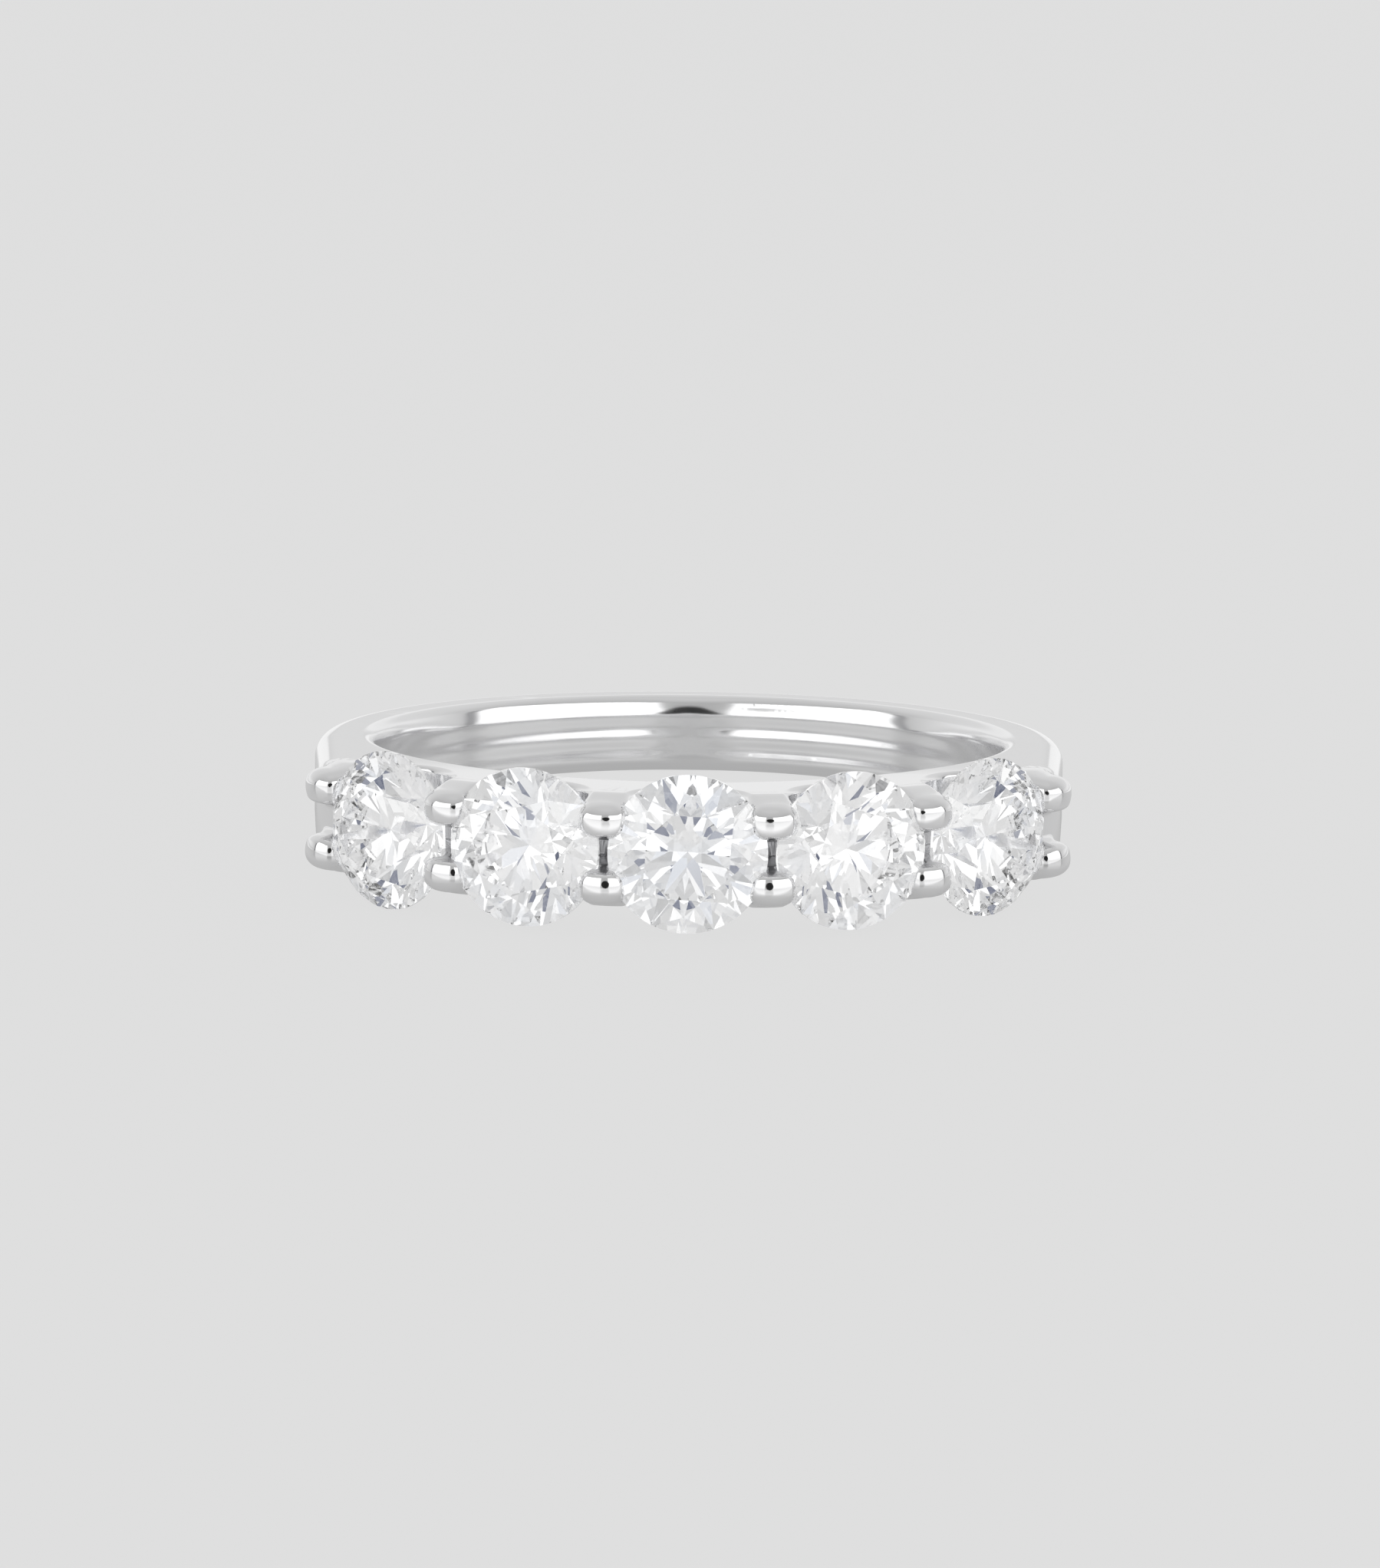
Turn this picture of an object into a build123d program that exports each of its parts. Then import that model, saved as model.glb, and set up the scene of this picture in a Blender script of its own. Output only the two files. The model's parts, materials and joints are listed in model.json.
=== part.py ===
from build123d import *
import copy
import math
import os

# Diamond ring with five round brilliants in shared prongs. Millimetres.
# It is drawn about its finger hole: the hole's axis is local Z, the stones face local -Y.
# It is then laid on its side as it rests on a table, with +Z up.

# finger hole and shank
bore_radius = 8.25
shank_thickness = 1.60
back_width = 2.08          # across the shank at the back of the hole
head_width = 2.94          # across the rail and the scalloped walls under the stones
taper_start = 6.5          # before the hole's axis: from here the sides close in towards the back
width_turn_radius = 40.0   # where they do, if it has ended before the shoulders' corners
outer_edge_radius = 0.60
inner_edge_radius = 0.30

# stones: round brilliants of 4.1 mm, a quarter carat each
stone_count = 5
stone_diameter = 4.10
stone_gap = 0.14           # between the girdles of two neighbours
girdle_thickness = 0.14
table_diameter = 2.34
crown_angle = 34.5
pavilion_angle = 40.75
star_reach = 0.50          # share of the way from the table's side to the girdle
lower_half_reach = 0.77    # share of the way from the girdle to the axis
culet_diameter = 0.03
girdle_height = 2.72       # from the finger hole to the middle of the girdle
main_facets = 8
stone_turns = (13.0, -9.0, 19.0, 5.0, -16.0)   # each stone about its own axis, in degrees

# rail, scallops and prongs
rail_thickness = 1.12
scallop_radius = 1.62
scallop_edge_radius = 0.16
prong_length = 1.36        # head along the row of stones
prong_width = 1.06         # head across the ring
prong_corner = 0.42        # rounding of the head's outline, seen from its crest
prong_rise = 0.72          # head above the middle of the girdle
prong_depth = 1.20         # of the domed head, from its crest towards the finger
prong_dome = 0.84          # radius of its crest
prong_rounding = 0.20      # where the crest meets the sides
prong_offset = 0.87        # head's middle from the middle plane of the ring
end_prong_shift = 0.19     # the outermost prongs stand this much further out
shoulder_rise = 0.08       # shoulder's end above the middle of the girdle
shoulder_corner_radius = 0.45
shoulder_lean = 2.4        # the straight sides of the shoulders close in by this, in degrees
seat_clearance = 0.025     # between stone and metal

# what follows from the sizes above
stone_radius = stone_diameter / 2
half_pitch = math.degrees(math.asin((stone_diameter + stone_gap) / 2 / (bore_radius + girdle_height)))
pitch = 2 * half_pitch
girdle_radius = bore_radius + girdle_height
shank_radius = bore_radius + shank_thickness
rail_radius = bore_radius + rail_thickness
shoulder_level = girdle_radius + shoulder_rise
row_end = pitch * (stone_count - 1) / 2
reach = girdle_radius + stone_diameter   # safely past the ring's outside
tiny = 1e-3


def outward(angle, radius, across=0.0):
    """Point at this angle from the middle of the row, this far from the hole's axis."""
    turn = math.radians(angle)
    return Vector(radius * math.sin(turn), -radius * math.cos(turn), across)


def radial_plane(angle, radius, across=0.0):
    """Plane facing outward from the hole: its X runs along the row, its Y along the hole's axis."""
    turn = math.radians(angle)
    along = Vector(math.cos(turn), math.sin(turn), 0)
    return Plane(origin=outward(angle, radius, across), x_dir=along, z_dir=outward(angle, 1.0))


def end_prong_angle():
    """Angle of the outermost prongs, which hold one stone each."""
    return row_end + half_pitch + math.degrees(math.asin(end_prong_shift / girdle_radius))


def prong_angles():
    """Angles of the prong pairs: one pair at each gap and one at each end of the row."""
    gaps = [(i - stone_count / 2) * pitch for i in range(1, stone_count)]
    return [-end_prong_angle()] + gaps + [end_prong_angle()]


def facet(solid, azimuth, slope, point):
    """Cut the solid by a plane through the point, whose normal leans by slope from +-Z."""
    turn = math.radians(azimuth)
    lean = math.radians(slope)
    normal = Vector(math.sin(lean) * math.cos(turn), math.sin(lean) * math.sin(turn), math.cos(lean))
    return split(solid, bisect_by=Plane(origin=point, z_dir=normal), keep=Keep.BOTTOM)


def facet_through(solid, a, b, c):
    """Cut off what lies outside the plane through three points."""
    normal = (b - a).cross(c - a).normalized()
    if normal.dot(a) < 0:
        normal = normal * -1
    return split(solid, bisect_by=Plane(origin=a, z_dir=normal), keep=Keep.BOTTOM)


def polar(radius, azimuth, height):
    """Point about the stone's own axis."""
    turn = math.radians(azimuth)
    return Vector(radius * math.cos(turn), radius * math.sin(turn), height)


def stone_levels():
    """Heights and radii of a stone's corners, from the middle of its girdle."""
    step = 180 / main_facets
    narrow = math.cos(math.radians(step))
    half_girdle = girdle_thickness / 2
    rise = math.tan(math.radians(crown_angle))
    drop = math.tan(math.radians(pavilion_angle))
    table_radius = table_diameter / 2
    table_height = half_girdle + (stone_radius - table_radius) * rise
    star_radius = table_radius * narrow + star_reach * (stone_radius - table_radius * narrow)
    star_height = half_girdle + (stone_radius - star_radius * narrow) * rise
    half_radius = (1 - lower_half_reach) * stone_radius
    half_height = -half_girdle - (stone_radius - half_radius * narrow) * drop
    culet_height = -half_girdle - (stone_radius - culet_diameter / 2) * drop
    return {
        "table": (table_radius, table_height),
        "star": (star_radius, star_height),
        "girdle": (stone_radius, half_girdle),
        "half": (half_radius, half_height),
        "culet": (culet_diameter / 2, culet_height),
    }


def brilliant():
    """One round brilliant about its own axis, the table up."""
    level = stone_levels()
    (table_r, table_z), (star_r, star_z) = level["table"], level["star"]
    (half_r, half_z), (culet_r, culet_z) = level["half"], level["culet"]
    half_girdle = girdle_thickness / 2
    step = 180 / main_facets
    body = Cylinder(stone_radius, table_z - culet_z)
    stone = Pos(0, 0, (table_z + culet_z) / 2) * body
    for i in range(main_facets):
        azimuth = 2 * step * i
        stone = facet(stone, azimuth, crown_angle, polar(stone_radius, azimuth, half_girdle))
        stone = facet(stone, azimuth, 180 - pavilion_angle, polar(stone_radius, azimuth, -half_girdle))
        star_point = polar(star_r, azimuth + step, star_z)
        next_corner = polar(table_r, azimuth + 2 * step, table_z)
        stone = facet_through(stone, polar(table_r, azimuth, table_z), next_corner, star_point)
        for side in (0, 2 * step):
            edge = azimuth + side
            for rim_z, tip in ((half_girdle, star_point), (-half_girdle, polar(half_r, azimuth + step, half_z))):
                at_main = polar(stone_radius, edge, rim_z)
                between = polar(stone_radius, azimuth + step, rim_z)
                stone = facet_through(stone, at_main, between, tip)
    return stone


def seat():
    """Space that a stone and its clearance take up, as a turned solid with the table up."""
    level = stone_levels()
    c = seat_clearance
    (table_r, table_z), (star_r, star_z) = level["table"], level["star"]
    (half_r, half_z), (culet_r, culet_z) = level["half"], level["culet"]
    half_girdle = girdle_thickness / 2
    outline = [
        (0, culet_z - c),
        (culet_r + c, culet_z - c),
        (half_r + c, half_z - c),
        (stone_radius + c, -half_girdle - c),
        (stone_radius + c, half_girdle + c),
        (star_r + c, star_z + c),
        (table_r + c, table_z + c),
        (0, table_z + c),
    ]
    profile = make_face(Polyline(*[(x, 0, z) for x, z in outline], close=True))
    return revolve(profile, Axis.Z)


def stone_places():
    """Place of each stone: its axis points outward from the hole."""
    angles = [(i - (stone_count - 1) / 2) * pitch for i in range(stone_count)]
    return [Location(radial_plane(angle, girdle_radius)) for angle in angles]


def shoulder_points():
    """Ends of the right shoulder's straight side: where it leaves the shank, and its corner."""
    lean = math.radians(shoulder_lean)
    side = Vector(math.cos(lean), -math.sin(lean)) * shank_radius
    run = math.sqrt(shoulder_level ** 2 - shank_radius ** 2)
    return side, side + Vector(-math.sin(lean), -math.cos(lean)) * run


def plan_face():
    """Ring seen along its hole, not yet bored: round shank, straight shoulders, arc of the head."""
    side, corner = shoulder_points()
    shank = ThreePointArc((side.X, side.Y), (0, shank_radius), (-side.X, side.Y))
    head = ThreePointArc((-corner.X, corner.Y), (0, -shoulder_level), (corner.X, corner.Y))
    left = Line((-side.X, side.Y), (-corner.X, corner.Y))
    right = Line((corner.X, corner.Y), (side.X, side.Y))
    plan = make_face([shank, left, head, right])
    corners = plan.vertices().filter_by(lambda v: v.Y < -shank_thickness)
    return fillet(corners, shoulder_corner_radius)


def side_face():
    """Ring seen from its side: tapering to the back, with parallel sides at the head."""
    half = head_width / 2
    slope = (head_width - back_width) / 2 / (bore_radius + taper_start)
    far_half = back_width / 2 - slope * (reach - bore_radius)
    outline = [(-reach, half), (-taper_start, half), (reach, far_half)]
    outline += [(reach, -far_half), (-taper_start, -half), (-reach, -half)]
    side = make_face(Plane.YZ * Polyline(*outline, close=True))
    turns = side.vertices().filter_by(lambda v: abs(v.Y + taper_start) < tiny)
    room = taper_start + shoulder_points()[1].Y - shoulder_corner_radius
    return fillet(turns, min(width_turn_radius, room / math.tan(math.atan(slope) / 2)))


def ring_body():
    """Bored ring with rounded edges, before the scallops are cut."""
    plan = plan_face()
    rim = plan.face().outer_wire()
    body = extrude(plan, head_width, both=True) & extrude(side_face(), reach, both=True)
    outer = [e for e in body.edges() if along_outline(e.position_at(0.5), rim)]
    body = fillet(outer, outer_edge_radius)
    body = body - Cylinder(bore_radius, 4 * head_width)
    inner = [e for e in body.edges() if along_bore(e.position_at(0.5))]
    return fillet(inner, inner_edge_radius)


def along_outline(point, rim):
    """Whether an edge's middle lies on the outline, on one of the ring's two sides."""
    return abs(point.Z) > tiny and rim.distance_to(Vertex(point.X, point.Y, 0)) < tiny


def along_bore(point):
    """Whether an edge's middle lies on the finger hole's wall, on one of the ring's two sides."""
    return abs(point.Z) > tiny and abs(math.hypot(point.X, point.Y) - bore_radius) < tiny


def scallop_planes():
    """Middle of each scallop's round floor, which just touches the rail."""
    angles = [(i - (stone_count - 1) / 2) * pitch for i in range(stone_count)]
    return [radial_plane(angle, rail_radius + scallop_radius) for angle in angles]


def scallop(plane):
    """U-shaped notch across the ring that bares a stone's pavilion."""
    floor = Rot(90, 0, 0) * Cylinder(scallop_radius, 4 * head_width)
    opening = Pos(0, 0, reach / 2) * Box(2 * scallop_radius, 4 * head_width, reach)
    return Location(plane) * (floor + opening)


def along_scallop(point):
    """Whether an edge's middle lies on a scallop's wall, near one of the ring's two sides."""
    if abs(point.Z) < head_width / 2 - outer_edge_radius - scallop_edge_radius:
        return False
    for plane in scallop_planes():
        local = plane.to_local_coords(point)
        if abs(math.hypot(local.X, min(local.Z, 0)) - scallop_radius) < tiny:
            return True
    return False


def channel():
    """Space above the rail that parts the upper prongs' wall from the lower one."""
    left = outward(-row_end, 2 * reach)
    right = outward(row_end, 2 * reach)
    sector = make_face(Polyline((0, 0), (left.X, left.Y), (right.X, right.Y), close=True))
    return extrude(sector - Circle(rail_radius), prong_offset - prong_width / 2, both=True)


def prong_head(angle, across):
    """Domed head of a prong, its crest outward."""
    pin = extrude(RectangleRounded(prong_length, prong_width, prong_corner), -prong_depth)
    crest = Pos(0, 0, -prong_dome) * Sphere(prong_dome)
    crest += Pos(0, 0, -prong_dome - prong_depth / 2) * Cylinder(prong_dome, prong_depth)
    pin = pin & crest
    pin = fillet(pin.faces().filter_by(GeomType.SPHERE).edges(), prong_rounding)
    return Location(radial_plane(angle, girdle_radius + prong_rise, across)) * pin


def ring_mount():
    """Shank, shoulders, rail, scalloped walls and prongs as one soldered solid, with the stones' seats."""
    metal = ring_body()
    for plane in scallop_planes():
        metal = metal - scallop(plane)
    edges = [e for e in metal.edges() if along_scallop(e.position_at(0.5))]
    metal = fillet(edges, scallop_edge_radius)
    metal = metal - channel()
    for angle in prong_angles():
        for across in (prong_offset, -prong_offset):
            metal = metal + prong_head(angle, across)
    hollow = seat()
    for place in stone_places():
        metal = metal - place * hollow
    return metal


def rest_tilt():
    """Lean of the ring on a table, in degrees: it stands on its outer stones and the shank's back."""
    slope = math.atan((head_width - back_width) / 2 / (bore_radius + taper_start))
    back_y = shank_radius - outer_edge_radius
    back_half = back_width / 2 - math.tan(slope) * (back_y - bore_radius)
    back_z = outer_edge_radius / math.cos(slope) - back_half
    rise = back_z + stone_radius
    run = back_y + girdle_radius * math.cos(math.radians(row_end))
    return math.degrees(math.acos(outer_edge_radius / math.hypot(rise, run)) - math.atan2(run, rise))


def laid_down(pieces):
    """All pieces turned to their rest, over the middle of their outline and down to the table."""
    turned = {name: Rot(-rest_tilt(), 0, 0) * piece for name, piece in pieces.items()}
    box = Compound(children=[copy.copy(piece) for piece in turned.values()]).bounding_box()
    middle = box.center()
    return {name: Pos(-middle.X, -middle.Y, -box.min.Z) * piece for name, piece in turned.items()}


def make_pieces():
    """Every piece of the ring by name, in the frame of the finger hole."""
    pieces = {"ring_mount": ring_mount()}
    stone = brilliant()
    for number, (place, turn) in enumerate(zip(stone_places(), stone_turns), start=1):
        pieces[f"diamond_{number}"] = place * Rot(0, 0, turn) * copy.copy(stone)
    return pieces


os.makedirs("parts", exist_ok=True)
for name, piece in laid_down(make_pieces()).items():
    export_step(piece, f"parts/{name}.step")
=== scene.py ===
import json
import math

import bmesh
import bpy
import numpy as np
from mathutils import Matrix, Vector


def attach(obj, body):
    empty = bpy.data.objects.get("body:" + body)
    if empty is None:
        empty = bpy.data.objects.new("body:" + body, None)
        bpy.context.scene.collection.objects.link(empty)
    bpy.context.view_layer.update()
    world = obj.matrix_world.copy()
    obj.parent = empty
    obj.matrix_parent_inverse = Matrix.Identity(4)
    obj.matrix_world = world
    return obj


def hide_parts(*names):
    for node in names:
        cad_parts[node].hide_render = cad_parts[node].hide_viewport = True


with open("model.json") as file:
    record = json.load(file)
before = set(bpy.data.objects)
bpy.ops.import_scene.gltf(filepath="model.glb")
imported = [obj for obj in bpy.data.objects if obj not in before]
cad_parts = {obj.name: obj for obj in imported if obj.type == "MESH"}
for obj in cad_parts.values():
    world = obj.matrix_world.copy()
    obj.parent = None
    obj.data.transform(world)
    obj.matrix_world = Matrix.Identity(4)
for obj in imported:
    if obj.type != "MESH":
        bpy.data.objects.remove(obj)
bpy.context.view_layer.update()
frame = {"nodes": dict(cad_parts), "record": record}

mm = 0.001

# The ring's own frame: the finger hole's middle and axis come with the model.
# All sizes below are mm in it, unless a note says otherwise.
hole = next(m for m in frame["record"]["mounts"] if m["name"] == "finger_bore")
holeAxis = Vector(hole["axis"]).normalized()
holeMiddle = Vector(hole["pos_m"])
ringX = Vector((1, 0, 0))
ringY = holeAxis.cross(ringX).normalized()
ringTurn = Matrix((ringX, ringY, holeAxis)).transposed()
ringFrame = Matrix.Translation(holeMiddle) @ ringTurn.to_4x4() @ Matrix.Scale(mm, 4)

ringSizes = {
    "boreRadius": hole["dims"]["r_mm"],
    "shankThickness": 1.60,
    "backWidth": 2.08,          # across the shank at the back of the hole
    "headWidth": 2.94,          # across the rail and the walls under the stones
    "taperStart": 6.5,          # in front of the hole's axis
    "taperBlend": 1.2,          # half the length over which the taper sets in
    "outerEdge": 0.60,          # rounding of the shank's outer edges
    "innerEdge": 0.20,          # rounding of the finger hole's edges
    "comfortRadius": 1.25,      # the hole's walls curve away towards its edges
    "comfortWidth": 0.59,       # width of that curve
    "waveLength": 0.62,         # faint ridges left by polishing the hole
    "waveDepth": 0.019,
    "waveMiddle": 0.04,         # height at which they are centred
    "waveWander": (0.025, 2.3, 0.6),    # it wanders round the hole: by how much, how often, from where
    "waveSwell": (0.3, 3.1, 1.1),       # and so does their depth, by this share of it
    "waveGap": (0.9, 0.13),     # share lost in the middle of the back, and over what turn
    "waveReach": (0.95, 2.2),   # turns from there: they end at the first, and are weaker past the second
    "waveFront": 0.4,           # their share past it, under the stones
    "railThickness": 1.12,
    "shoulderRise": 0.08,       # shoulder's end above the girdles' middle
    "shoulderCorner": 0.45,
    "shoulderLean": 2.4,        # degrees by which the shoulders' straight sides close in
}
stoneSizes = {
    "count": 5,
    "radius": 2.05,
    "gap": 0.14,                # between two girdles
    "girdle": 0.14,
    "tableRadius": 1.17,
    "crownAngle": 34.5,
    "pavilionAngle": 40.75,
    "starReach": 0.50,
    "lowerHalfReach": 0.77,
    "girdleHeight": 2.72,       # from the finger hole to the middle of the girdle
    "culetRadius": 0.015,
    "facets": 8,                # main ones round the crown
    "seatGap": 0.025,           # between stone and metal
    "seatEdge": 0.035,          # softened edge of the metal over a stone
}
wallSizes = {
    "scallopRadius": 1.62,
    "scallopEdge": 0.16,
    "channelEdge": 0.10,
}
prongSizes = {
    "length": 1.36,             # head along the row
    "width": 1.06,              # head across the ring
    "corner": 0.42,             # rounding of its outline, seen from its crest
    "rise": 0.72,               # crest above the girdles' middle
    "depth": 1.20,
    "dome": 0.84,               # radius of the crest
    "rounding": 0.22,           # where the crest meets the sides
    "inward": 0.24,             # the same towards the other prong
    "outward": 0.48,            # and away from it, where the head also leans out a little
    "lean": 0.03,
    "offset": 0.87,             # head's middle from the ring's middle plane
    "endShift": 0.19,           # the outermost pair stands further out
    "joint": 0.26,              # fillet between head and wall
}
meshSizes = {
    "step": 0.052,              # grid on which the metal's skin is found
    "margin": 0.16,             # of that grid round the ring
    "faces": 186000,            # triangles kept
    "probe": 0.003,             # for the slope of the surface
    "merge": 0.001,             # corners nearer than this become one
    "stride": 0.05,             # the furthest that a corner moves at once
    "roundsBefore": 3,          # moves on to the skin before it is thinned
    "roundsAfter": 2,
}

girdleRadius = ringSizes["boreRadius"] + stoneSizes["girdleHeight"]
shankRadius = ringSizes["boreRadius"] + ringSizes["shankThickness"]
railRadius = ringSizes["boreRadius"] + ringSizes["railThickness"]
halfPitch = math.asin((stoneSizes["radius"] + stoneSizes["gap"] / 2) / girdleRadius)
rowEnd = halfPitch * (stoneSizes["count"] - 1)


# How far a point is from a solid, negative inside. Two solids are joined or cut with a rounded edge.

# Inside both, with the outer edge between them rounded.
def common(a, b, edge):
    ra, rb = a + edge, b + edge
    return np.minimum(np.maximum(ra, rb), 0) + np.hypot(np.maximum(ra, 0), np.maximum(rb, 0)) - edge


def joined(a, b, fillet):
    return -common(-a, -b, fillet)


# Coordinates along the row and outward at this angle from the row's middle.
def alongRow(x, y, angle):
    s, c = math.sin(angle), math.cos(angle)
    return x * c + y * s, x * s - y * c


# The ring seen along its hole: round shank, straight shoulders, arc of the head.
def outlineField(x, y):
    r = np.hypot(x, y)
    level = girdleRadius + ringSizes["shoulderRise"]
    lean = math.radians(ringSizes["shoulderLean"])
    straight = x * math.cos(lean) - y * math.sin(lean) - shankRadius
    front = common(r - level, straight, ringSizes["shoulderCorner"])
    return np.where(y > -x * math.tan(lean), r - shankRadius, front)


# The ring seen from its side: it narrows towards the back of the shank.
def sidesField(y, z):
    s = ringSizes
    slope = (s["headWidth"] - s["backWidth"]) / 2 / (s["boreRadius"] + s["taperStart"])
    t, w = y + s["taperStart"], s["taperBlend"]
    run = np.where(t > w, t, np.where(t < -w, 0, (t + w) ** 2 / (4 * w)))
    return (z - s["headWidth"] / 2 + slope * run) * math.cos(math.atan(slope))


# Faint ridges run round the hole. They wander a little, and are deeper in some places.
def holeWaves(x, y, z):
    s = ringSizes
    turn = np.arctan2(x, y)
    size, rate, start = s["waveWander"]
    wander = s["waveMiddle"] + size * np.sin(rate * turn + start)
    swell, rate, start = s["waveSwell"]
    depth = s["waveDepth"] * (1 + swell * np.sin(rate * turn + start))
    lost, width = s["waveGap"]
    depth *= 1 - lost * np.exp(-(turn / width) ** 2)
    end, far = s["waveReach"]
    depth *= np.where(np.abs(turn) < far, np.exp(-(turn / end) ** 8), s["waveFront"])
    return depth * np.sin(2 * math.pi * (z - wander) / s["waveLength"])


# U-shaped notch that bares a stone's pavilion.
def scallopField(x, y, angle):
    r = wallSizes["scallopRadius"]
    u, v = alongRow(x, y, angle)
    v = v - railRadius - r
    return np.where(v < 0, np.hypot(u, v), np.abs(u)) - r


# Space that parts the upper prongs' wall from the lower one.
def channelField(x, y, z):
    half = prongSizes["offset"] - prongSizes["width"] / 2
    beside = x * math.cos(rowEnd) + y * math.sin(rowEnd)
    return np.maximum(np.maximum(z - half, railRadius - np.hypot(x, y)), beside)


# Domed head of one prong.
def prongField(x, y, z, angle):
    p = prongSizes
    u, v = alongRow(x, y, angle)
    w = z - p["offset"]
    side = common(np.abs(u) - p["length"] / 2, np.maximum(-w, w - p["lean"]) - p["width"] / 2, p["corner"])
    below = v - girdleRadius - p["rise"]
    crest = np.sqrt(u * u + w * w + np.maximum(below + p["dome"], 0) ** 2) - p["dome"]
    inward = common(crest, -w - p["width"] / 2, p["inward"])
    outward = common(crest, w - p["width"] / 2 - p["lean"], p["outward"])
    head = common(side, np.where(w < 0, inward, outward), p["rounding"])
    return np.maximum(head, -below - p["depth"])


# A stone's widest outline from its point up to its table: radius, and height from the girdle's middle.
def stoneOutline():
    s = stoneSizes
    half = s["girdle"] / 2
    narrow = math.cos(math.radians(180 / s["facets"]))
    rise, drop = math.tan(math.radians(s["crownAngle"])), math.tan(math.radians(s["pavilionAngle"]))
    starRadius = s["tableRadius"] * narrow
    starRadius += s["starReach"] * (s["radius"] - starRadius)
    lowRadius = (1 - s["lowerHalfReach"]) * s["radius"]
    return [
        (s["culetRadius"], -half - (s["radius"] - s["culetRadius"]) * drop),
        (lowRadius, -half - (s["radius"] - lowRadius * narrow) * drop),
        (s["radius"], -half),
        (s["radius"], half),
        (starRadius, half + (s["radius"] - starRadius * narrow) * rise),
        (s["tableRadius"], half + (s["radius"] - s["tableRadius"]) * rise),
    ]


# Space of a stone with its clearance, turned about the stone's axis.
def seatField(x, y, z, angle):
    u, v = alongRow(x, y, angle)
    rho, v = np.hypot(u, z), v - girdleRadius
    outline = stoneOutline()
    field = v - outline[-1][1]
    for (r0, z0), (r1, z1) in zip(outline, outline[1:]):
        length = math.hypot(r1 - r0, z1 - z0)
        field = np.maximum(field, ((rho - r0) * (z1 - z0) - (v - z0) * (r1 - r0)) / length)
    return field - stoneSizes["seatGap"]


# The soldered mount. It is the same left and right, and above and below its middle plane.
def metalField(points):
    x, y, z = np.abs(points[0]), points[1], np.abs(points[2])
    s = ringSizes
    sides = sidesField(y, z)
    field = common(outlineField(x, y), sides, s["outerEdge"])
    past = s["comfortRadius"] - s["comfortWidth"]
    boreRadius = s["boreRadius"] + holeWaves(points[0], y, points[2])
    hole = common(boreRadius - np.hypot(x, y), sides - past, s["comfortRadius"])
    field = common(field, hole, s["innerEdge"])
    stones = [i * 2 * halfPitch for i in range(stoneSizes["count"] // 2 + 1)]
    for angle in stones:
        field = common(field, -scallopField(x, y, angle), wallSizes["scallopEdge"])
    field = common(field, -channelField(x, y, z), wallSizes["channelEdge"])
    gaps = [angle + halfPitch for angle in stones]
    gaps[-1] += math.asin(prongSizes["endShift"] / girdleRadius)
    for angle in gaps:
        field = joined(field, prongField(x, y, z, angle), prongSizes["joint"])
    for angle in stones:
        field = common(field, -seatField(x, y, z, angle), stoneSizes["seatEdge"])
    return field


# Direction in which the field grows, which is the skin's outward normal.
def slopeOf(points):
    h = meshSizes["probe"]
    slope = np.empty_like(points)
    for axis in range(3):
        step = np.zeros((3, 1))
        step[axis] = h
        slope[axis] = metalField(points + step) - metalField(points - step)
    return slope / np.maximum(np.linalg.norm(slope, axis=0), 1e-12)


# Moves points on to the skin.
def settle(points, rounds):
    most = meshSizes["stride"]
    for _ in range(rounds):
        points = points - np.clip(metalField(points), -most, most) * slopeOf(points)
    return points


# Field on a grid. A quarter is worked out, and mirrored in x and z.
def skinGrid():
    h, margin = meshSizes["step"], meshSizes["margin"]
    crest = girdleRadius + prongSizes["rise"]
    nx = int((shankRadius + 3 * margin) / h) + 2
    nz = int((ringSizes["headWidth"] / 2 + margin) / h) + 2
    x = (np.arange(nx) + 0.5) * h
    y = np.arange(-crest - margin, shankRadius + margin, h)
    z = (np.arange(nz) + 0.5) * h
    gx, gy, gz = np.meshgrid(x, y, z, indexing="ij")
    field = metalField((gx, gy, gz)).astype(np.float32)
    field = np.concatenate([field[::-1], field], axis=0)
    field = np.concatenate([field[:, :, ::-1], field], axis=2)
    return field, np.array([-x[-1], y[0], -z[-1]])


# One vertex in each cell that the skin passes through, and one quad across each grid edge that it cuts.
def skinQuads(field, start):
    inside = field < 0
    ends = (slice(None, -1), slice(1, None))
    cells = [inside[i, j, k] for i in ends for j in ends for k in ends]
    passed = np.logical_or.reduce(cells) & ~np.logical_and.reduce(cells)
    number = np.full(passed.shape, -1, np.int64)
    number[passed] = np.arange(passed.sum())
    points = (np.argwhere(passed).T + 0.5) * meshSizes["step"] + start[:, None]
    quads = []
    for axis in range(3):
        one, two = (axis + 1) % 3, (axis + 2) % 3
        low = np.take(inside, range(inside.shape[axis] - 1), axis)
        high = np.take(inside, range(1, inside.shape[axis]), axis)
        cut = np.argwhere(low != high)
        cut = cut[(cut[:, one] > 0) & (cut[:, two] > 0)]
        cut = cut[(cut[:, one] < number.shape[one]) & (cut[:, two] < number.shape[two])]
        corners = []
        for a, b in ((1, 1), (0, 1), (0, 0), (1, 0)):
            at = cut.copy()
            at[:, one] -= a
            at[:, two] -= b
            corners.append(number[at[:, 0], at[:, 1], at[:, 2]])
        quad = np.stack(corners, 1)
        outward = low[cut[:, 0], cut[:, 1], cut[:, 2]]
        quad[~outward] = quad[~outward][:, ::-1]
        quads.append(quad)
    return points, np.concatenate(quads)


def addMesh(name, points, faces):
    mesh = bpy.data.meshes.new(name)
    mesh.from_pydata(points.tolist(), [], faces.tolist())
    mesh.validate()
    piece = bpy.data.objects.new(name, mesh)
    bpy.context.scene.collection.objects.link(piece)
    return piece


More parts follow.
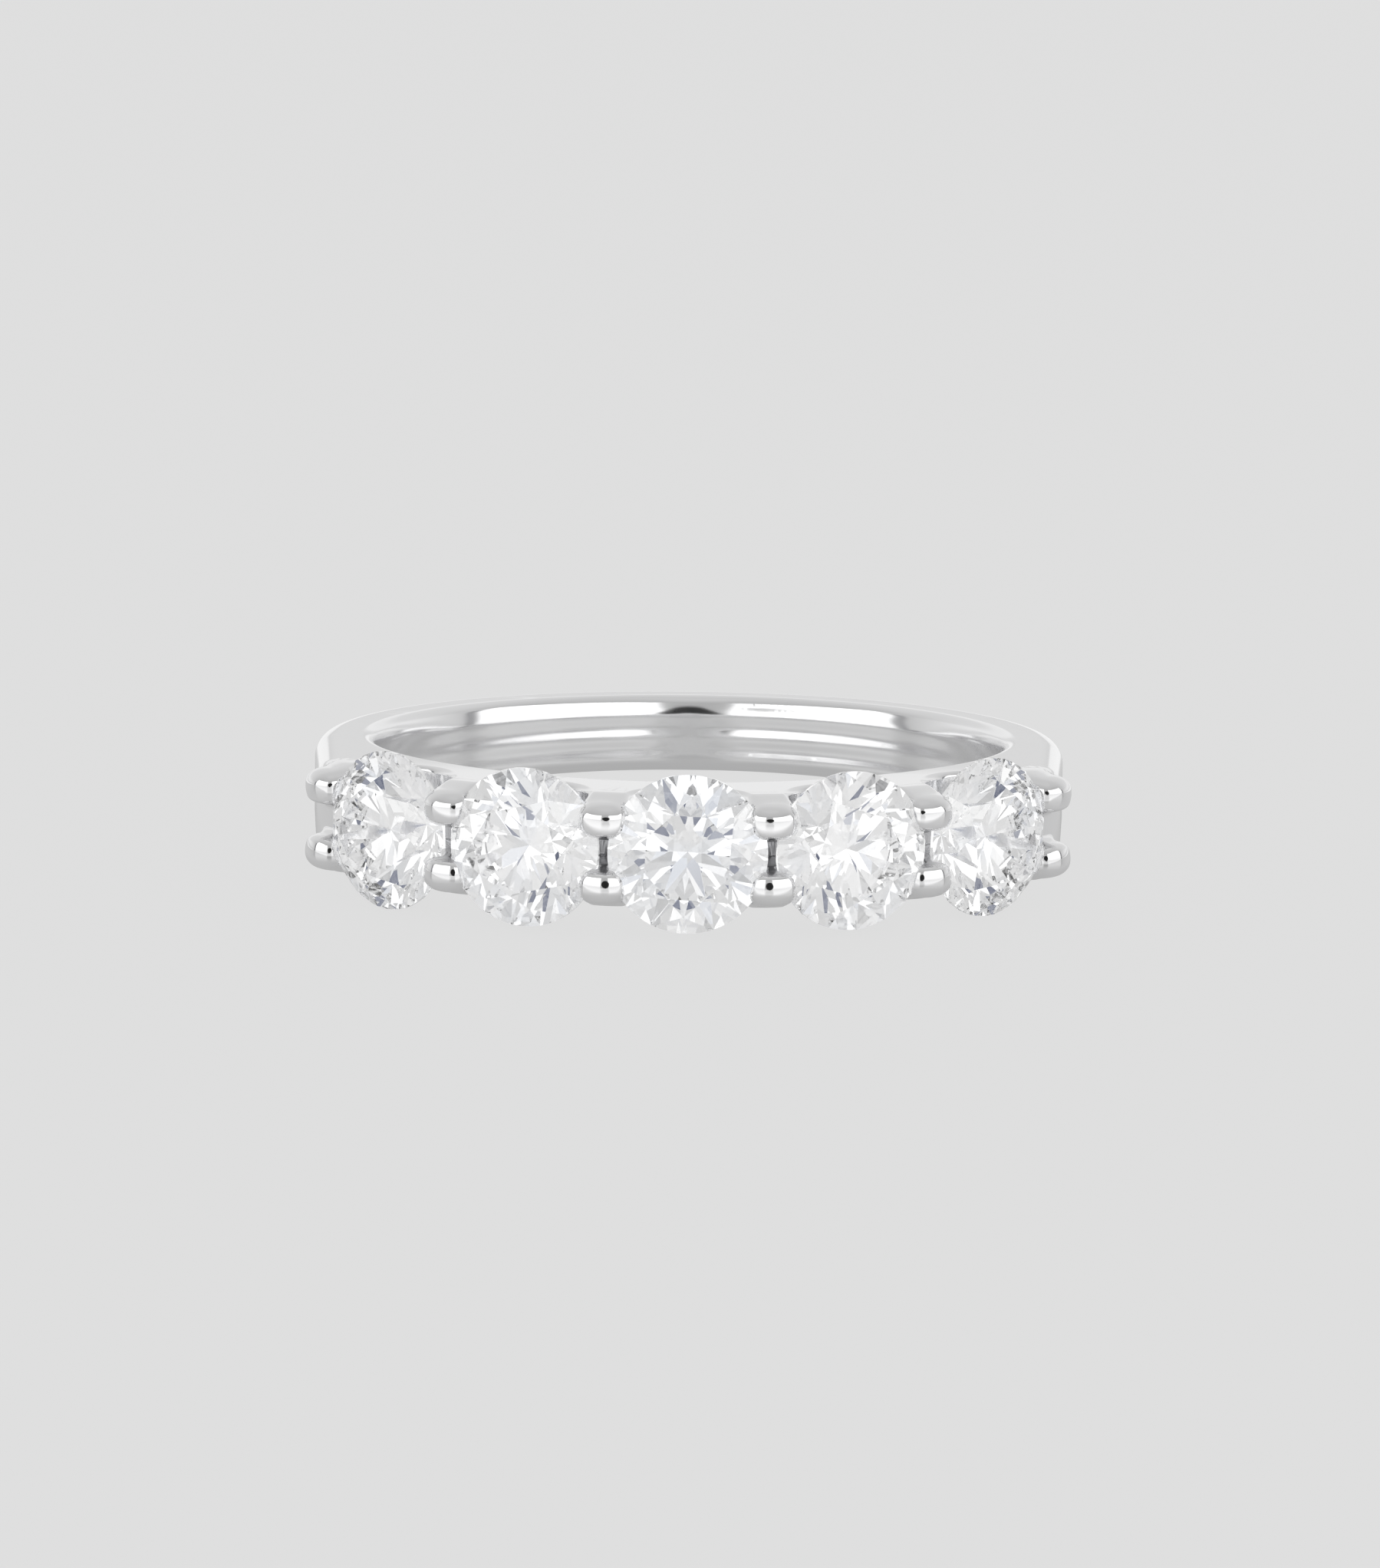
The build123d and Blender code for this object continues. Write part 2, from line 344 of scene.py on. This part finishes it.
def trianglesOf(mesh):
    return sum(len(face.vertices) - 2 for face in mesh.polygons)


def cornersOf(mesh):
    flat = np.empty(len(mesh.vertices) * 3)
    mesh.vertices.foreach_get("co", flat)
    return flat.reshape(-1, 3).T.copy()


# Fewer triangles where the skin is flat.
def thinned(piece, faces):
    now = trianglesOf(piece.data)
    if now <= faces:
        return
    modifier = piece.modifiers.new("thin", "DECIMATE")
    modifier.ratio = faces / now
    bpy.context.view_layer.update()
    graph = bpy.context.evaluated_depsgraph_get()
    mesh = bpy.data.meshes.new_from_object(piece.evaluated_get(graph))
    piece.modifiers.clear()
    piece.data = mesh
    mesh.name = piece.name


# Joins corners that have come together, and drops the slivers between them.
def merged(mesh, points):
    mesh.vertices.foreach_set("co", points.T.ravel())
    work = bmesh.new()
    work.from_mesh(mesh)
    bmesh.ops.remove_doubles(work, verts=work.verts, dist=meshSizes["merge"])
    bmesh.ops.collapse(work, edges=[edge for edge in work.edges if len(edge.link_faces) != 2])
    bmesh.ops.dissolve_degenerate(work, edges=work.edges, dist=meshSizes["merge"])
    bmesh.ops.triangulate(work, faces=work.faces)
    work.to_mesh(mesh)
    work.free()
    return cornersOf(mesh)


markSizes = {
    "holeEdge": (0.25, 0.12),   # the hole's finish starts this far outside its wall, and sets in over this
    "deepEdge": (0.50, 0.06),   # the darker colour (painted shade) and the rougher metal start this far from the middle plane
    "deepFloor": (0.1, 0.08),   # and this far below the rail's outside
}


# Where the skin lies in the finger hole, and where deep between the stones, from 0 to 1.
def markParts(mesh, points):
    x, y, z = points
    r = np.hypot(x, y)
    start, over = markSizes["holeEdge"]
    inHole = np.clip((ringSizes["boreRadius"] + start - r) / over, 0, 1)
    row = np.abs(np.arctan2(x, -y)) < rowEnd + halfPitch
    # The deep mask darkens the metal there with painted shade, and makes it rougher.
    start, over = markSizes["deepEdge"]
    low = np.clip((start - np.abs(z)) / over, 0, 1)
    start, over = markSizes["deepFloor"]
    low = low * np.clip((r - railRadius + start) / over, 0, 1)
    for name, values in (("inHole", inHole), ("amongStones", low * row)):
        mark = mesh.attributes.new(name, "FLOAT", "POINT")
        mark.data.foreach_set("value", values.astype(np.float32))


# The mount's polished skin as one mesh, each normal taken from the form itself.
def metalPiece():
    field, start = skinGrid()
    points, quads = skinQuads(field, start)
    points = settle(points, meshSizes["roundsBefore"])
    piece = addMesh("polished_mount", points.T, quads)
    print("mount's skin:", len(quads), "quads")
    thinned(piece, meshSizes["faces"])
    mesh = piece.data
    points = merged(mesh, settle(cornersOf(mesh), meshSizes["roundsAfter"]))
    normals = slopeOf(points)
    place = np.array(ringFrame)
    turn = np.array(ringTurn)
    placed = place[:3, :3] @ points + place[:3, 3:]
    mesh.vertices.foreach_set("co", placed.T.ravel())
    mesh.polygons.foreach_set("use_smooth", np.ones(len(mesh.polygons), bool))
    mesh.update()
    mesh.normals_split_custom_set_from_vertices((turn @ normals).T.tolist())
    markParts(mesh, points)
    print("mount kept with", trianglesOf(mesh), "triangles")
    return piece


# Materials

def newMaterial(name):
    material = bpy.data.materials.new(name)
    material.use_nodes = True
    nodes = material.node_tree.nodes
    return material, nodes, material.node_tree.links, nodes["Principled BSDF"]


def grey(level):
    return (level, level, level, 1)


def mathNode(nodes, operation, second=None):
    node = nodes.new("ShaderNodeMath")
    node.operation = operation
    if second is not None:
        node.inputs[1].default_value = second
    return node


def colourMix(nodes):
    node = nodes.new("ShaderNodeMix")
    node.data_type = "RGBA"
    return node


# Grey ramp that goes softly through these places and levels.
def softRamp(nodes, steps):
    ramp = nodes.new("ShaderNodeValToRGB")
    ramp.color_ramp.interpolation = "EASE"
    spots = ramp.color_ramp.elements
    for number, (place, level) in enumerate(steps):
        spot = spots[number] if number < 2 else spots.new(1)
        spot.position = place
        spot.color = grey(level)
    return ramp


polishTraces = {
    "hazeDetail": 3,
    "scratchDetail": 2,
    "scratchStretch": (1, 1, 9),    # they run round the hole
}


# Faint traces of the polishing mop: a mask of cloudy haze and a height of fine scratches.
def polishGroup():
    group = bpy.data.node_groups.new("polishTraces", "ShaderNodeTree")
    group.interface.new_socket("Haze Scale", in_out="INPUT", socket_type="NodeSocketFloat")
    group.interface.new_socket("Scratch Scale", in_out="INPUT", socket_type="NodeSocketFloat")
    group.interface.new_socket("Haze", in_out="OUTPUT", socket_type="NodeSocketFloat")
    group.interface.new_socket("Scratches", in_out="OUTPUT", socket_type="NodeSocketFloat")
    nodes, links = group.nodes, group.links
    given = nodes.new("NodeGroupInput")
    sent = nodes.new("NodeGroupOutput")
    where = nodes.new("ShaderNodeTexCoord")
    haze = nodes.new("ShaderNodeTexNoise")
    haze.inputs["Detail"].default_value = polishTraces["hazeDetail"]
    links.new(where.outputs["Object"], haze.inputs["Vector"])
    links.new(given.outputs["Haze Scale"], haze.inputs["Scale"])
    links.new(haze.outputs["Fac"], sent.inputs["Haze"])
    stretch = nodes.new("ShaderNodeMapping")
    stretch.inputs["Scale"].default_value = polishTraces["scratchStretch"]
    fine = nodes.new("ShaderNodeTexNoise")
    fine.inputs["Detail"].default_value = polishTraces["scratchDetail"]
    links.new(where.outputs["Object"], stretch.inputs["Vector"])
    links.new(stretch.outputs["Vector"], fine.inputs["Vector"])
    links.new(given.outputs["Scratch Scale"], fine.inputs["Scale"])
    links.new(fine.outputs["Fac"], sent.inputs["Scratches"])
    return group


whiteGold = {
    "bright": (0.90, 0.90, 0.905, 1),
    "dull": (0.70, 0.70, 0.71, 1),      # painted shade, darker deep between the stones, where no mop reaches
    "polish": (0.045, 0.085),   # roughness where clearest and where haziest
    "holeRough": 0.07,          # more on the finger hole, which is less finely polished
    "deepRough": 0.24,          # and still more between the stones
    "hazeScale": 260.0,
    "scratchScale": 2500.0,
    "scratchStrength": 0.012,
    "scratchHeight": 0.02,
    "throughStones": 0.14,      # painted glow: the metal gives off soft light where it is seen through a stone
}


def whiteGoldMaterial(traces):
    material, nodes, links, shader = newMaterial("polished_white_gold")
    shader.inputs["Metallic"].default_value = 1
    deep = nodes.new("ShaderNodeAttribute")
    deep.attribute_name = "amongStones"
    # Painted shade: the base colour goes darker deep between the stones.
    shadedTone = colourMix(nodes)
    shadedTone.inputs["A"].default_value = whiteGold["bright"]
    shadedTone.inputs["B"].default_value = whiteGold["dull"]
    links.new(deep.outputs["Fac"], shadedTone.inputs["Factor"])
    links.new(shadedTone.outputs["Result"], shader.inputs["Base Color"])
    marks = nodes.new("ShaderNodeGroup")
    marks.node_tree = traces
    marks.inputs["Haze Scale"].default_value = whiteGold["hazeScale"]
    marks.inputs["Scratch Scale"].default_value = whiteGold["scratchScale"]
    rough = nodes.new("ShaderNodeMapRange")
    rough.inputs["To Min"].default_value, rough.inputs["To Max"].default_value = whiteGold["polish"]
    links.new(marks.outputs["Haze"], rough.inputs["Value"])
    hole = nodes.new("ShaderNodeAttribute")
    hole.attribute_name = "inHole"
    rougher = mathNode(nodes, "MULTIPLY_ADD", whiteGold["holeRough"])
    links.new(hole.outputs["Fac"], rougher.inputs[0])
    links.new(rough.outputs["Result"], rougher.inputs[2])
    roughest = mathNode(nodes, "MULTIPLY_ADD", whiteGold["deepRough"])
    links.new(deep.outputs["Fac"], roughest.inputs[0])
    links.new(rougher.outputs["Value"], roughest.inputs[2])
    links.new(roughest.outputs["Value"], shader.inputs["Roughness"])
    bump = nodes.new("ShaderNodeBump")
    bump.inputs["Strength"].default_value = whiteGold["scratchStrength"]
    bump.inputs["Distance"].default_value = whiteGold["scratchHeight"] * mm
    links.new(marks.outputs["Scratches"], bump.inputs["Height"])
    links.new(bump.outputs["Normal"], shader.inputs["Normal"])
    # Painted glow: the metal gives off a little light, only to rays that reach it through a stone.
    rays = nodes.new("ShaderNodeLightPath")
    inside = colourMix(nodes)
    inside.inputs["A"].default_value = grey(0)
    inside.inputs["B"].default_value = grey(1)
    links.new(rays.outputs["Is Transmission Ray"], inside.inputs["Factor"])
    links.new(inside.outputs["Result"], shader.inputs["Emission Color"])
    shader.inputs["Emission Strength"].default_value = whiteGold["throughStones"]
    return material


diamond = {
    "clear": (1.0, 1.0, 1.0, 1),
    "cool": (0.955, 0.972, 1.0, 1),     # the faint blue of some facets
    "patch": 900.0,             # how fine the blue is scattered
    "patchDetail": 1,
    "patchFrom": 0.52,          # the noise level where it sets in
    "patchOver": 0.14,          # and how softly
    "polish": 0.012,
    "ior": 2.417,
    "bounces": 32,              # light crosses a cut stone many times
}


def diamondMaterial():
    material, nodes, links, shader = newMaterial("cut_diamond")
    where = nodes.new("ShaderNodeTexCoord")
    cloud = nodes.new("ShaderNodeTexNoise")
    cloud.inputs["Scale"].default_value = diamond["patch"]
    cloud.inputs["Detail"].default_value = diamond["patchDetail"]
    ramp = nodes.new("ShaderNodeValToRGB")
    ramp.color_ramp.elements[0].position = diamond["patchFrom"]
    ramp.color_ramp.elements[0].color = diamond["clear"]
    ramp.color_ramp.elements[1].position = diamond["patchFrom"] + diamond["patchOver"]
    ramp.color_ramp.elements[1].color = diamond["cool"]
    links.new(where.outputs["Object"], cloud.inputs["Vector"])
    links.new(cloud.outputs["Fac"], ramp.inputs["Fac"])
    links.new(ramp.outputs["Color"], shader.inputs["Base Color"])
    shader.inputs["Transmission Weight"].default_value = 1
    shader.inputs["Roughness"].default_value = diamond["polish"]
    shader.inputs["IOR"].default_value = diamond["ior"]
    return material


# Studio: pale table, pale tent, two soft walls beside the camera and the dark round it

table = {
    "light": 0.745,             # the photo's even grey
    "share": 0.03,              # how much of it answers to light and shadow
    "size": 3.0,
    "mirrored": 0.58,           # its own light as the metal mirrors it, near the ring
    "mirroredFar": 1.08,        # and further off, before and behind it
    "near": 12,                 # where that light starts to grow, in mm
    "far": 17,                  # and where it is full
    "shade": 0.20,              # darker by this share under the ring
    "shadeReach": 20,           # mm from the hole's middle, and the shade at shares of that
    "shadeSteps": ((0.28, 0), (0.42, 1), (0.50, 1), (0.68, 0)),
    "throughStones": 0.80,      # its light as the stones gather it
    "gloss": 1.5,               # refraction of its polished plate
    "glossMost": 0.36,          # share mirrored at the flattest angle
    "glossRough": 0.2,
}


def addTable():
    half = table["size"] / 2
    corners = np.array([(-half, -half, 0), (half, -half, 0), (half, half, 0), (-half, half, 0)])
    top = addMesh("table", corners, np.array([(0, 1, 2, 3)]))
    material, nodes, links, shader = newMaterial("pale_table")
    shader.inputs["Base Color"].default_value = grey(table["share"])
    shader.inputs["Roughness"].default_value = 1
    shader.inputs["Specular IOR Level"].default_value = 0
    shader.inputs["Emission Color"].default_value = grey(1)
    shader.inputs["Emission Strength"].default_value = table["light"] - table["share"]
    # What the ring sees of it: a polished white plate.
    rays = nodes.new("ShaderNodeLightPath")
    own = nodes.new("ShaderNodeEmission")
    where = nodes.new("ShaderNodeTexCoord")
    parts = nodes.new("ShaderNodeSeparateXYZ")
    further = nodes.new("ShaderNodeMapRange")
    further.interpolation_type = "SMOOTHSTEP"
    further.inputs["From Min"].default_value = table["near"] * mm
    further.inputs["From Max"].default_value = table["far"] * mm
    further.inputs["To Min"].default_value = table["mirrored"]
    further.inputs["To Max"].default_value = table["mirroredFar"]
    links.new(where.outputs["Object"], parts.inputs["Vector"])
    depth = mathNode(nodes, "ABSOLUTE")
    links.new(parts.outputs["Y"], depth.inputs[0])
    links.new(depth.outputs["Value"], further.inputs["Value"])
    middle = nodes.new("ShaderNodeVectorMath")
    middle.operation = "SUBTRACT"
    middle.inputs[1].default_value = (holeMiddle.x, holeMiddle.y, 0)
    links.new(where.outputs["Object"], middle.inputs[0])
    away = nodes.new("ShaderNodeVectorMath")
    away.operation = "LENGTH"
    links.new(middle.outputs["Vector"], away.inputs[0])
    under = softRamp(nodes, [(place, 1 - table["shade"] * most) for place, most in table["shadeSteps"]])
    reach = mathNode(nodes, "MULTIPLY", 1 / (table["shadeReach"] * mm))
    links.new(away.outputs["Value"], reach.inputs[0])
    links.new(reach.outputs["Value"], under.inputs["Fac"])
    shaded = mathNode(nodes, "MULTIPLY")
    links.new(further.outputs["Result"], shaded.inputs[0])
    links.new(under.outputs["Color"], shaded.inputs[1])
    level = nodes.new("ShaderNodeMapRange")
    level.inputs["To Max"].default_value = table["throughStones"]
    links.new(shaded.outputs["Value"], level.inputs["To Min"])
    links.new(rays.outputs["Is Transmission Ray"], level.inputs["Value"])
    links.new(level.outputs["Result"], own.inputs["Strength"])
    gloss = nodes.new("ShaderNodeBsdfGlossy")
    gloss.inputs["Roughness"].default_value = table["glossRough"]
    fresnel = nodes.new("ShaderNodeFresnel")
    fresnel.inputs["IOR"].default_value = table["gloss"]
    most = mathNode(nodes, "MINIMUM", table["glossMost"])
    links.new(fresnel.outputs["Fac"], most.inputs[0])
    plate = nodes.new("ShaderNodeMixShader")
    links.new(most.outputs["Value"], plate.inputs["Fac"])
    links.new(own.outputs["Emission"], plate.inputs[1])
    links.new(gloss.outputs["BSDF"], plate.inputs[2])
    choice = nodes.new("ShaderNodeMixShader")
    links.new(rays.outputs["Is Camera Ray"], choice.inputs["Fac"])
    links.new(plate.outputs["Shader"], choice.inputs[1])
    links.new(shader.outputs["BSDF"], choice.inputs[2])
    links.new(choice.outputs["Shader"], nodes["Material Output"].inputs["Surface"])
    top.data.materials.append(material)


tent = {
    # height of the direction, light in front of the ring, light behind it
    "steps": [
        (-1.0, 0.50, 0.60),
        (0.0, 0.52, 0.66),
        (0.04, 0.52, 0.72),
        (0.1, 0.52, 0.88),
        (0.22, 0.50, 0.86),
        (0.36, 0.48, 0.74),
        (0.6, 0.46, 0.70),
        (0.9, 0.56, 0.64),
        (1.0, 0.62, 0.62),
    ],
    "frontTo": -0.3,            # depth of the direction where the front's light starts to change
    "rearFrom": 0.7,            # and where the rear's is full
    "throughStones": 0.22,      # how far the stones see it as an even bright one
    "even": 1.35,
}


def addTent():
    world = bpy.data.worlds.new("tent")
    world.use_nodes = True
    nodes, links = world.node_tree.nodes, world.node_tree.links
    direction = nodes.new("ShaderNodeTexCoord")
    parts = nodes.new("ShaderNodeSeparateXYZ")
    links.new(direction.outputs["Generated"], parts.inputs["Vector"])
    height = nodes.new("ShaderNodeMapRange")
    height.inputs["From Min"].default_value = -1
    links.new(parts.outputs["Z"], height.inputs["Value"])
    depth = nodes.new("ShaderNodeMapRange")
    depth.interpolation_type = "SMOOTHSTEP"
    depth.inputs["From Min"].default_value = tent["frontTo"]
    depth.inputs["From Max"].default_value = tent["rearFrom"]
    links.new(parts.outputs["Y"], depth.inputs["Value"])
    front = softRamp(nodes, [((rise + 1) / 2, level) for rise, level, _ in tent["steps"]])
    rear = softRamp(nodes, [((rise + 1) / 2, level) for rise, _, level in tent["steps"]])
    links.new(height.outputs["Result"], front.inputs["Fac"])
    links.new(height.outputs["Result"], rear.inputs["Fac"])
    blend = colourMix(nodes)
    links.new(depth.outputs["Result"], blend.inputs["Factor"])
    links.new(front.outputs["Color"], blend.inputs["A"])
    links.new(rear.outputs["Color"], blend.inputs["B"])
    rays = nodes.new("ShaderNodeLightPath")
    share = mathNode(nodes, "MULTIPLY", tent["throughStones"])
    links.new(rays.outputs["Is Transmission Ray"], share.inputs[0])
    softer = colourMix(nodes)
    softer.inputs["B"].default_value = grey(tent["even"])
    links.new(share.outputs["Value"], softer.inputs["Factor"])
    links.new(blend.outputs["Result"], softer.inputs["A"])
    links.new(softer.outputs["Result"], nodes["Background"].inputs["Color"])
    bpy.context.scene.world = world


softWalls = {
    "distance": 0.45,           # metres
    "left": (-16, -84),         # degrees round the ring, from the camera's side
    "right": (10, 87),
    "top": 36,                  # degrees above the ring's middle plane
    "bottom": -6,
    "light": 1.35,
    "foot": 0.6,                # share of the light at its foot
    "fadeTo": 12,               # degrees, where the light is full
    "columns": 24,
    "darkEnd": 6,               # degrees of dark cloth beyond each wall's far end
    "darkBottom": -8,
    "darkTop": 22,
    "darkCloth": (0.30, 0.30, 0.31, 1),
}


# A standing strip of a round wall about the ring, from one angle to another.
def wallPiece(name, near, far, low, high, material):
    d, columns = softWalls["distance"], softWalls["columns"]
    points = []
    for step in range(columns + 1):
        turn = math.radians(near + (far - near) * step / columns)
        for rise in (low, high):
            points.append((d * math.sin(turn), -d * math.cos(turn), d * math.tan(math.radians(rise))))
    faces = [(i, i + 2, i + 3, i + 1) for i in range(0, 2 * columns, 2)]
    wall = addMesh(name, np.array(points), np.array(faces))
    wall.data.materials.append(material)
    wall.matrix_world = Matrix.Translation(holeMiddle) @ ringTurn.to_4x4()
    wall.visible_camera = False


def softWallMaterial():
    w = softWalls
    material, nodes, links, shader = newMaterial("soft_light")
    shader.inputs["Base Color"].default_value = grey(0)
    shader.inputs["Specular IOR Level"].default_value = 0
    shader.inputs["Emission Strength"].default_value = w["light"]
    low, high = math.tan(math.radians(w["bottom"])), math.tan(math.radians(w["top"]))
    fade = (math.tan(math.radians(w["fadeTo"])) - low) / (high - low)
    where = nodes.new("ShaderNodeTexCoord")
    parts = nodes.new("ShaderNodeSeparateXYZ")
    ramp = nodes.new("ShaderNodeValToRGB")
    ramp.color_ramp.interpolation = "EASE"
    ramp.color_ramp.elements[0].color = grey(w["foot"])
    ramp.color_ramp.elements[1].position = fade
    links.new(where.outputs["Generated"], parts.inputs["Vector"])
    links.new(parts.outputs["Z"], ramp.inputs["Fac"])
    links.new(ramp.outputs["Color"], shader.inputs["Emission Color"])
    return material


def addSoftWalls():
    w = softWalls
    lit = softWallMaterial()
    dark, _, _, shader = newMaterial("dark_end")
    shader.inputs["Base Color"].default_value = w["darkCloth"]
    shader.inputs["Roughness"].default_value = 1
    for side, turned in (("left", -1), ("right", 1)):
        near, far = w[side]
        wallPiece("soft_wall_" + side, near, far, w["bottom"], w["top"], lit)
        end = far + turned * w["darkEnd"]
        wallPiece("dark_end_" + side, far, end, w["darkBottom"], w["darkTop"], dark)


# Camera: the photo's angle to the ring, and above the table

view = {
    "elevation": 9.37,          # above the ring's middle plane
    "distance": 0.315,          # metres
    "pixelsPerMm": 49.43,       # at the finger hole's middle
    "imageWidth": 1799,
    "imageHeight": 2044,
    "holeAt": (897.67, 1022.0),     # where the hole's middle shows
    "roll": 0.64,               # the right side shows a little lower
    "sensor": 0.036,
    "clipStart": 0.01,
}


def facing(place, target):
    return (place - target).to_track_quat("Z", "Y").to_matrix().to_4x4()


def addCamera():
    v = view
    data = bpy.data.cameras.new("camera")
    data.sensor_width = v["sensor"] / mm
    data.lens = v["pixelsPerMm"] / mm * v["distance"] / v["imageHeight"] * data.sensor_width
    data.clip_start = v["clipStart"]
    camera = bpy.data.objects.new("camera", data)
    e = math.radians(v["elevation"])
    direction = ringTurn @ Vector((0, -math.cos(e), math.sin(e)))
    look = facing(holeMiddle + direction, holeMiddle) @ Matrix.Rotation(math.radians(v["roll"]), 4, "Z")
    right, up = look.col[0].to_3d(), look.col[1].to_3d()
    offX = (v["imageWidth"] / 2 - v["holeAt"][0]) / v["pixelsPerMm"] * mm
    offY = (v["holeAt"][1] - v["imageHeight"] / 2) / v["pixelsPerMm"] * mm
    place = holeMiddle + direction * v["distance"] + right * offX + up * offY
    camera.matrix_world = Matrix.Translation(place) @ look
    bpy.context.scene.collection.objects.link(camera)
    bpy.context.scene.camera = camera
    return camera


hood = {
    "distance": 0.42,           # metres
    "half": 13.2,               # degrees
    "corners": 48,
    "cloth": 0.02,              # its grey
    "middleLight": (0.08, 0.10, 0.18, 1),   # what the stones gather from its middle
    "rimLight": (0.80, 0.82, 0.86, 1),      # and from its rim
    "middle": 0.74,             # share of its radius
    "middleOver": 0.12,         # and how softly it goes over to the rim
}


# Dark round the camera, seen only as a reflection.
def addHood(camera):
    radius = hood["distance"] * math.tan(math.radians(hood["half"]))
    turns = [2 * math.pi * i / hood["corners"] for i in range(hood["corners"])]
    rim = np.array([(radius * math.cos(t), radius * math.sin(t), 0) for t in turns])
    disc = addMesh("camera_hood", rim, np.array([list(range(hood["corners"]))]))
    material, nodes, links, shader = newMaterial("dark_cloth")
    shader.inputs["Base Color"].default_value = grey(hood["cloth"])
    shader.inputs["Roughness"].default_value = 1
    shader.inputs["Specular IOR Level"].default_value = 0
    where = nodes.new("ShaderNodeTexCoord")
    apart = nodes.new("ShaderNodeVectorMath")
    apart.operation = "LENGTH"
    links.new(where.outputs["Object"], apart.inputs[0])
    ramp = nodes.new("ShaderNodeValToRGB")
    ramp.color_ramp.elements[0].position = hood["middle"]
    ramp.color_ramp.elements[0].color = hood["middleLight"]
    ramp.color_ramp.elements[1].position = hood["middle"] + hood["middleOver"]
    ramp.color_ramp.elements[1].color = hood["rimLight"]
    share = mathNode(nodes, "DIVIDE", radius)
    links.new(apart.outputs["Value"], share.inputs[0])
    links.new(share.outputs["Value"], ramp.inputs["Fac"])
    links.new(ramp.outputs["Color"], shader.inputs["Emission Color"])
    rays = nodes.new("ShaderNodeLightPath")
    links.new(rays.outputs["Is Transmission Ray"], shader.inputs["Emission Strength"])
    disc.data.materials.append(material)
    direction = (camera.matrix_world.translation - holeMiddle).normalized()
    place = holeMiddle + direction * hood["distance"]
    disc.matrix_world = Matrix.Translation(place) @ facing(place, holeMiddle)
    disc.visible_camera = disc.visible_shadow = disc.visible_diffuse = False


camera = addCamera()
addTable()
addTent()
addSoftWalls()
addHood(camera)
print("studio and camera set")

mount = metalPiece()
mount.data.materials.append(whiteGoldMaterial(polishGroup()))
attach(mount, "root")
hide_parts("ring_mount")

cut = diamondMaterial()
for number in range(1, stoneSizes["count"] + 1):
    stone = frame["nodes"][f"diamond_{number}"]
    stone.data.materials.clear()
    stone.data.materials.append(cut)
print("stones dressed")

scene = bpy.context.scene
scene.view_settings.view_transform = "Standard"
scene.view_settings.look = "None"
scene.cycles.max_bounces = diamond["bounces"]
scene.cycles.transmission_bounces = diamond["bounces"]
scene.cycles.glossy_bounces = diamond["bounces"]
